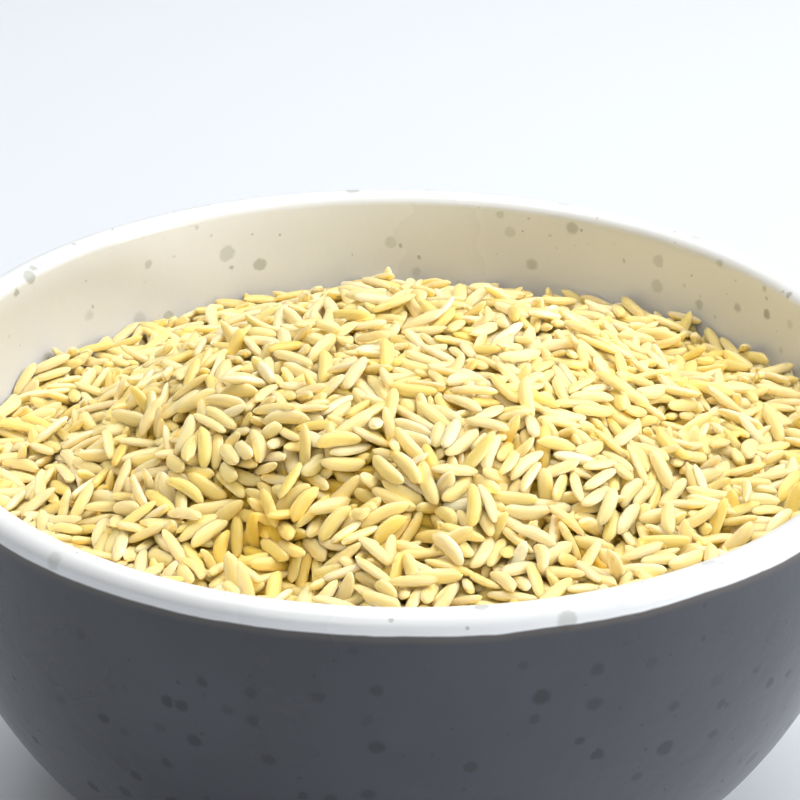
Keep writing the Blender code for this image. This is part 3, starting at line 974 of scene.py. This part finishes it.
def joined_grains(name, parts):
    """One mesh of many grains, given in groups of like resolution."""
    points, quads, triangles, values = [], [], [], []
    first = 0
    for group, along, around, thin, tone, buried, rings, steps in parts:
        count, number = group.shape[:2]
        some_quads, some_triangles = turned_faces(rings, steps)
        shift = first + np.arange(count)[:, None, None] * number
        quads.append((some_quads[None] + shift).reshape(-1, 4))
        triangles.append((some_triangles[None] + shift).reshape(-1, 3))
        points.append(group.reshape(-1, 3))
        rows = [np.tile(row, count) for row in (along, around, thin)]
        values.append(np.stack(rows + [np.repeat(tone, number), buried.ravel()]))
        first += count * number
    piece = mesh_from_arrays(name, np.concatenate(points), np.concatenate(quads), np.concatenate(triangles))
    values = np.concatenate(values, 1)
    for row, label in enumerate(("along", "around", "thin_side", "tone", "buried")):
        point_attribute(piece, label, values[row])
    return piece


def make_grain_pieces(sizes):
    """All kinds of grain, settled together: those near the top have more faces than those under them.

    A grain's side starts square to the core's normal, and is rolled a little round its axis.
    """
    draw = np.random.default_rng(SEED)
    middle, axis, length, width = loose_grains(sizes, draw)
    shares = np.array([kind[1] for kind in KINDS])
    kind_of = draw.choice(len(KINDS), sizes.count, p=shares / shares.sum())
    broken = kind_of == len(KINDS) - 1
    length = np.where(broken, length * draw.uniform(*BROKEN_LENGTHS, sizes.count), length)
    middle, axis = settle(middle, axis, length, width)
    normal = core_normal(middle[:, 0], middle[:, 1])
    side = np.cross(normal, axis)
    side = side / np.linalg.norm(side, axis=1, keepdims=True)
    roll = draw.normal(0.0, ROLL, sizes.count)
    side = side * np.cos(roll)[:, None] + np.cross(axis, side) * np.sin(roll)[:, None]
    flip = draw.choice([-1.0, 1.0], sizes.count)
    axis = axis * flip[:, None]
    bend = draw.normal(0.0, BEND_SPREAD, sizes.count)
    chip = draw.uniform(*CHIP_SIZES, sizes.count)
    tone = draw.uniform(-1.0, 1.0, sizes.count)
    above = (middle[:, 2] - core_height(middle[:, 0], middle[:, 1])) * normal[:, 2]
    # Painted shade: grains in the heap's hollows are tinted deeper golden by the hollow's depth.
    shaded = hollow_depth(middle[:, 0], middle[:, 1]) / HOLLOW_SHADE
    top = above > CORE_DEPTH - FINE_DEPTH
    arm = axis[:, None] * (BALL_PLACES * (length / 2.0)[:, None])[..., None]
    balls = (middle[:, None] + arm).reshape(-1, 3)
    surface = top_map(balls, (width[:, None] * BALL_RADIUS * BALL_SIZES).ravel())
    pieces = []
    for index, (name, _, face_colour, glow_side_colour) in enumerate(KINDS):
        groups = []
        for part, (rings, steps) in ((top, FINE_MESH), (~top, BURIED_MESH)):
            chosen = (kind_of == index) & part
            if not chosen.any():
                continue
            made = grain_points(
                middle[chosen], axis[chosen], side[chosen], length[chosen], width[chosen],
                sizes.flatness, bend[chosen], chip[chosen], rings, steps,
            )
            # Painted shade: each point's depth under the top, with its hollow's, sets its deeper golden tint.
            buried = np.clip(depth_under(surface, made[0]) + shaded[chosen][:, None], 0.0, 1.0)
            groups.append((*made, tone[chosen], buried, rings, steps))
        piece = joined_grains(name, groups)
        piece.data.materials.append(rice_material(name, face_colour, glow_side_colour))
        pieces.append(piece)
    return pieces


class RICE_OT_bowl(bpy.types.Operator):
    """Makes the speckled stoneware bowl."""

    bl_idname = "rice.bowl"
    bl_label = "Stoneware bowl"

    def execute(self, context):
        bowl = make_bowl_piece(context.scene.rice_bowl)
        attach(bowl, "root")
        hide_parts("bowl")
        return {"FINISHED"}


class RICE_OT_core(bpy.types.Operator):
    """Makes the core of the heap, under its loose grains."""

    bl_idname = "rice.core"
    bl_label = "Heap core"

    def execute(self, context):
        core = make_core_piece()
        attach(core, "root")
        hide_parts("rice_heap")
        return {"FINISHED"}


class RICE_OT_grains(bpy.types.Operator):
    """Settles and makes the grains of rice, one mesh a kind."""

    bl_idname = "rice.grains"
    bl_label = "Grains of rice"

    def execute(self, context):
        for piece in make_grain_pieces(context.scene.rice_heap):
            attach(piece, "root")
            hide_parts("rice_heap")
        return {"FINISHED"}


def floor_material(light):
    """Pale matt floor with a faint unevenness."""
    material, tree, shader = new_material("pale_floor")
    drift = noise(tree, object_place(tree), scale=3.0, detail=2.0).outputs["Fac"]
    colour = mix_colour(tree, drift, shade_of(light.floor_colour, FLOOR_SHADE), light.floor_colour)
    tree.links.new(colour, shader.inputs["Base Color"])
    shader.inputs["Roughness"].default_value = 0.6
    shader.inputs["Specular IOR Level"].default_value = 0.2
    return material


def make_floor(light):
    """A flat square floor under the foot."""
    corners = ((-1.0, -1.0, 0.0), (1.0, -1.0, 0.0), (1.0, 1.0, 0.0), (-1.0, 1.0, 0.0))
    points = FLOOR_HALF * np.array(corners)
    floor = mesh_from_arrays("floor", points, np.array([[0, 1, 2, 3]]), np.empty((0, 3), int), False)
    floor.data.materials.append(floor_material(light))
    return floor


def add_softbox(name, place, aim, size, power, colour):
    """A square area light at a place, turned to a point, that the camera doesn't see."""
    data = bpy.data.lights.new(name, "AREA")
    data.shape = "SQUARE"
    data.size = size
    data.energy = power
    data.color = colour
    lamp = bpy.data.objects.new(name, data)
    bpy.context.scene.collection.objects.link(lamp)
    lamp.location = place
    towards = Vector(aim) - Vector(place)
    lamp.rotation_euler = towards.to_track_quat("-Z", "Y").to_euler()
    lamp.visible_camera = False


def add_camera():
    """The camera: it looks down on the rim's middle, with small turns for the framing."""
    back = Vector((0.0, -math.cos(CAMERA_ELEVATION), math.sin(CAMERA_ELEVATION)))
    forward = -back
    right = forward.cross(Vector((0.0, 0.0, 1.0))).normalized()
    up = right.cross(forward)
    pitch = Quaternion(right, CAMERA_PITCH)
    forward = pitch @ forward
    up = pitch @ up
    roll = Quaternion(forward, CAMERA_ROLL)
    up = roll @ up
    right = roll @ right
    data = bpy.data.cameras.new("camera")
    data.sensor_width = SENSOR
    data.lens = SENSOR * FOCAL_PIXELS / FRAME_PIXELS
    data.clip_start = NEAREST
    data.clip_end = FARTHEST
    camera = bpy.data.objects.new("camera", data)
    turn = Matrix((right, up, -forward)).transposed().to_4x4()
    place = Vector((0.0, 0.0, BOWL_HEIGHT)) + back * CAMERA_DISTANCE
    camera.matrix_world = Matrix.Translation(place) @ turn
    bpy.context.scene.collection.objects.link(camera)
    bpy.context.scene.camera = camera


class RICE_OT_stage(bpy.types.Operator):
    """Makes the floor, the light and the camera."""

    bl_idname = "rice.stage"
    bl_label = "Plain studio"

    def execute(self, context):
        light = context.scene.rice_stage
        make_floor(light)
        world = bpy.data.worlds.new("studio")
        context.scene.world = world
        world.use_nodes = True
        sky = world.node_tree.nodes["Background"]
        sky.inputs["Color"].default_value = SKY_COLOUR
        sky.inputs["Strength"].default_value = light.fill_strength
        for name, place, aim, size, colour in SOFTBOXES:
            add_softbox(name, place, aim, size, getattr(light, name + "_power"), colour)
        context.scene.view_settings.view_transform = "Standard"
        context.scene.cycles.max_bounces = BOUNCES
        context.scene.cycles.diffuse_bounces = BOUNCES
        context.scene.cycles.glossy_bounces = GLOSSY_BOUNCES
        add_camera()
        return {"FINISHED"}


class RICE_PT_panel(bpy.types.Panel):
    """Lists the pieces to make."""

    bl_idname = "RICE_PT_panel"
    bl_label = "Bowl of raw rice"
    bl_space_type = "VIEW_3D"
    bl_region_type = "UI"
    bl_category = "Rice"

    def draw(self, context):
        for operator in OPERATORS:
            self.layout.operator(operator.bl_idname)


OPERATORS = (RICE_OT_bowl, RICE_OT_core, RICE_OT_grains, RICE_OT_stage)
GROUPS = (RiceBowlSizes, RiceHeapSizes, RiceStageLight)


def register():
    """Registers the settings, the operators and the panel."""
    for item in GROUPS + OPERATORS + (RICE_PT_panel,):
        bpy.utils.register_class(item)
    bpy.types.Scene.rice_bowl = PointerProperty(type=RiceBowlSizes)
    bpy.types.Scene.rice_heap = PointerProperty(type=RiceHeapSizes)
    bpy.types.Scene.rice_stage = PointerProperty(type=RiceStageLight)


def unregister():
    """Takes away what register added."""
    del bpy.types.Scene.rice_bowl, bpy.types.Scene.rice_heap, bpy.types.Scene.rice_stage
    for item in reversed(GROUPS + OPERATORS + (RICE_PT_panel,)):
        bpy.utils.unregister_class(item)


def main():
    """Makes every piece and the stage."""
    register()
    bpy.ops.rice.bowl()
    bpy.ops.rice.core()
    bpy.ops.rice.grains()
    bpy.ops.rice.stage()


if __name__ == "__main__":
    main()
